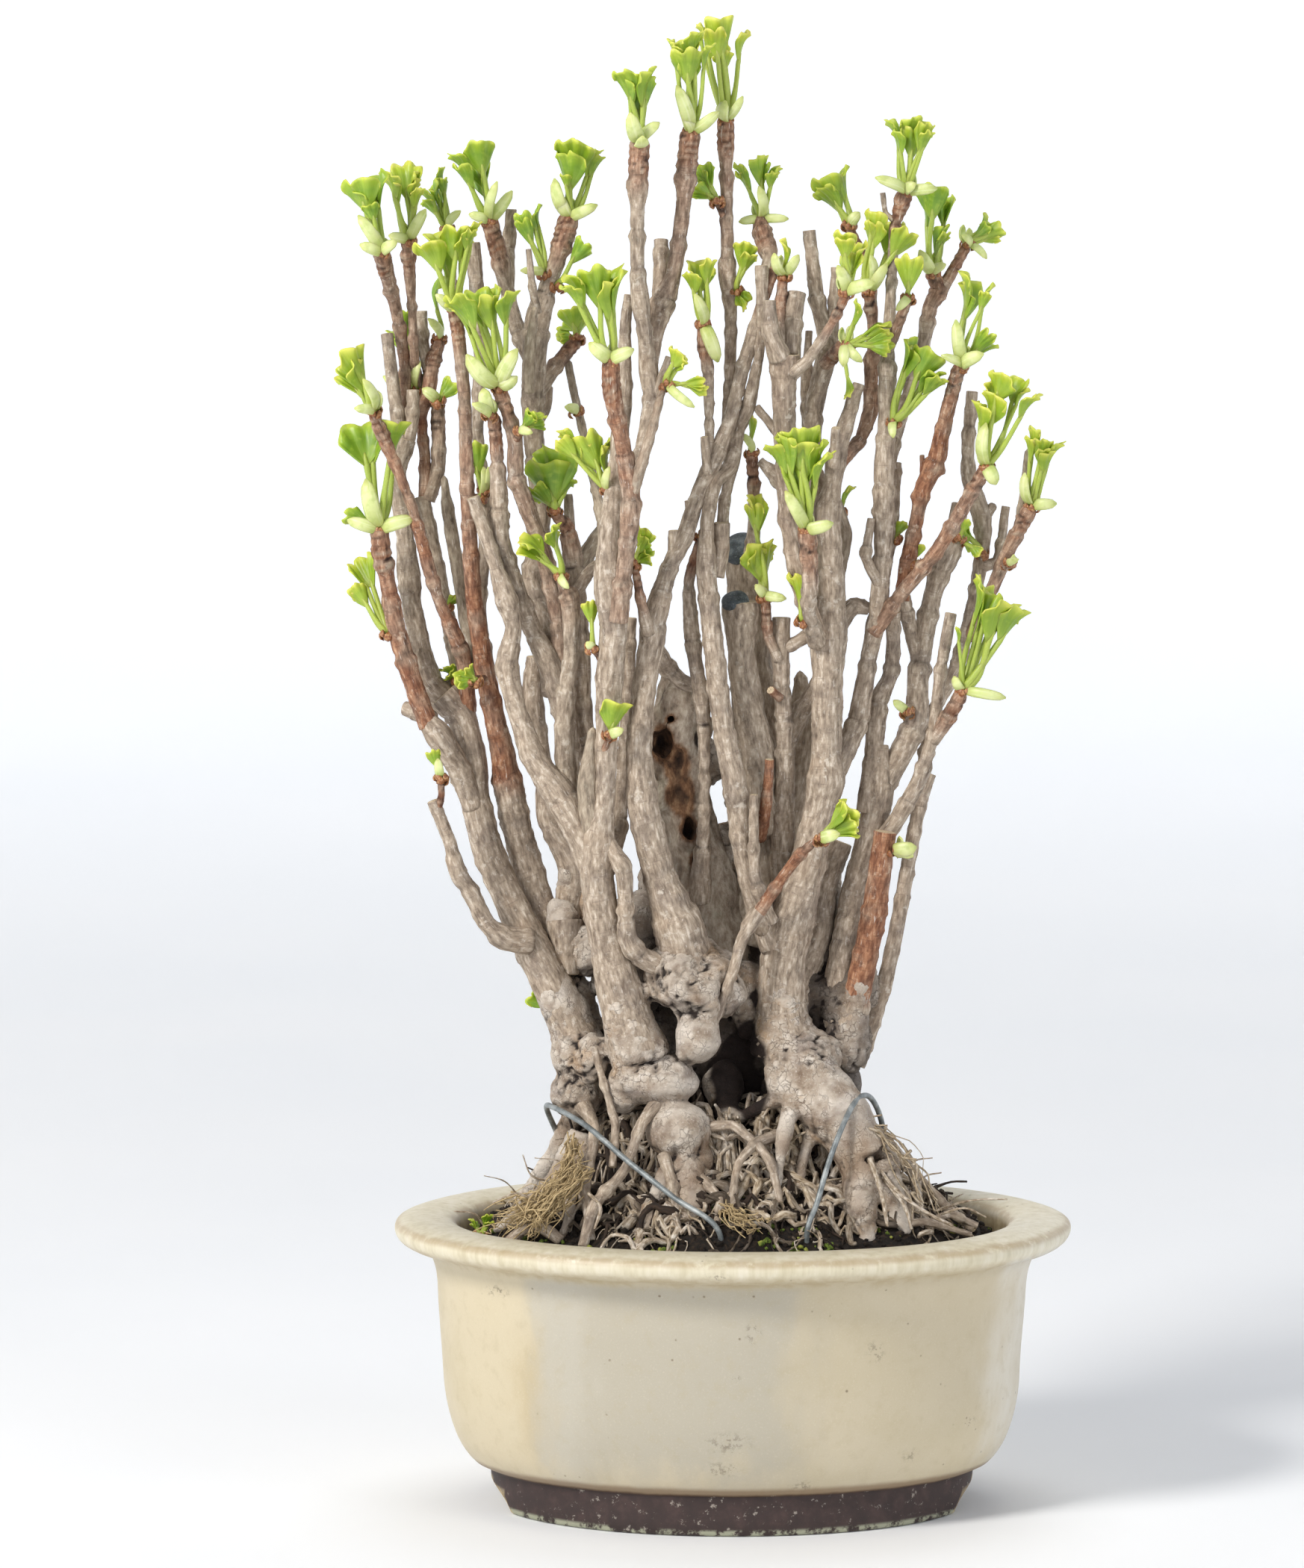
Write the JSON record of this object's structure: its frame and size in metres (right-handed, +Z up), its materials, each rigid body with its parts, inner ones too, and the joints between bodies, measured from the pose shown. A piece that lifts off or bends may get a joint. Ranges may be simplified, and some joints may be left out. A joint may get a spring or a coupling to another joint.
{
  "type": "bonsai tree in pot",
  "caption": "Ginkgo bonsai grown as a tall clump of hard-pruned stems on a knobbly root burl, opening fan-shaped spring leaves, in an oval glazed pot with a wide lip.",
  "frame": {"origin": "under the middle of the whole plant's bounding box, at the foot of the pot", "axes": "+Z up; +X to the right along the pot's long side, seen from the front; +Y to the back"},
  "size_m": [0.2448, 0.176, 0.4961],
  "materials": {
    "glaze": "satin straw-cream glaze, unglazed brown foot",
    "soil": "dark crumb of fired clay and bark",
    "bark": "grey-brown fissured bark",
    "wire": "weathered",
    "mesh": "matte",
    "paste": "matte, skinned over",
    "leaf": "soft satin"
  },
  "bodies": {
    "root": {"pot": "glaze", "soil": "soil", "wood": "bark", "tie_wire_left": "wire", "tie_wire_right": "wire", "drain_mesh_left": "mesh", "drain_mesh_right": "mesh", "cut_paste_high": "paste", "cut_paste_low": "paste", "bud_brown_stub": "leaf", "shoot_back_twig": "leaf", "shoot_behind_bud": "leaf", "shoot_behind_fans": "leaf", "shoot_big_fan": "leaf", "shoot_branch_top": "leaf", "shoot_crown_centre": "leaf", "shoot_crown_left": "leaf", "shoot_crown_left_right": "leaf", "shoot_crown_middle": "leaf", "shoot_crown_right": "leaf", "shoot_crown_second": "leaf", "shoot_crown_side": "leaf", "shoot_crown_spur": "leaf", "shoot_crown_third": "leaf", "shoot_curled_spur": "leaf", "shoot_fan_bunch": "leaf", "shoot_far_right": "leaf", "shoot_far_right_top": "leaf", "shoot_front_fork": "leaf", "shoot_front_left": "leaf", "shoot_front_low": "leaf", "shoot_inner_green": "leaf", "shoot_knot": "leaf", "shoot_knuckle": "leaf", "shoot_left_cut": "leaf", "shoot_left_high": "leaf", "shoot_left_low": "leaf", "shoot_left_outer": "leaf", "shoot_left_second": "leaf", "shoot_left_third": "leaf", "shoot_left_twig": "leaf", "shoot_low_twig": "leaf", "shoot_lower_bunch": "leaf", "shoot_pale_ringed": "leaf", "shoot_pale_spur": "leaf", "shoot_right_back": "leaf", "shoot_right_leafy": "leaf", "shoot_right_low": "leaf", "shoot_right_pair": "leaf", "shoot_right_red": "leaf", "shoot_right_slant": "leaf", "shoot_right_small": "leaf", "shoot_right_top": "leaf", "shoot_right_twig": "leaf", "shoot_straw_rod": "leaf", "shoot_tall_brown": "leaf", "shoot_thin_spur": "leaf", "shoot_third_side": "leaf", "shoot_third_twig": "leaf"}
  },
  "joints": []
}
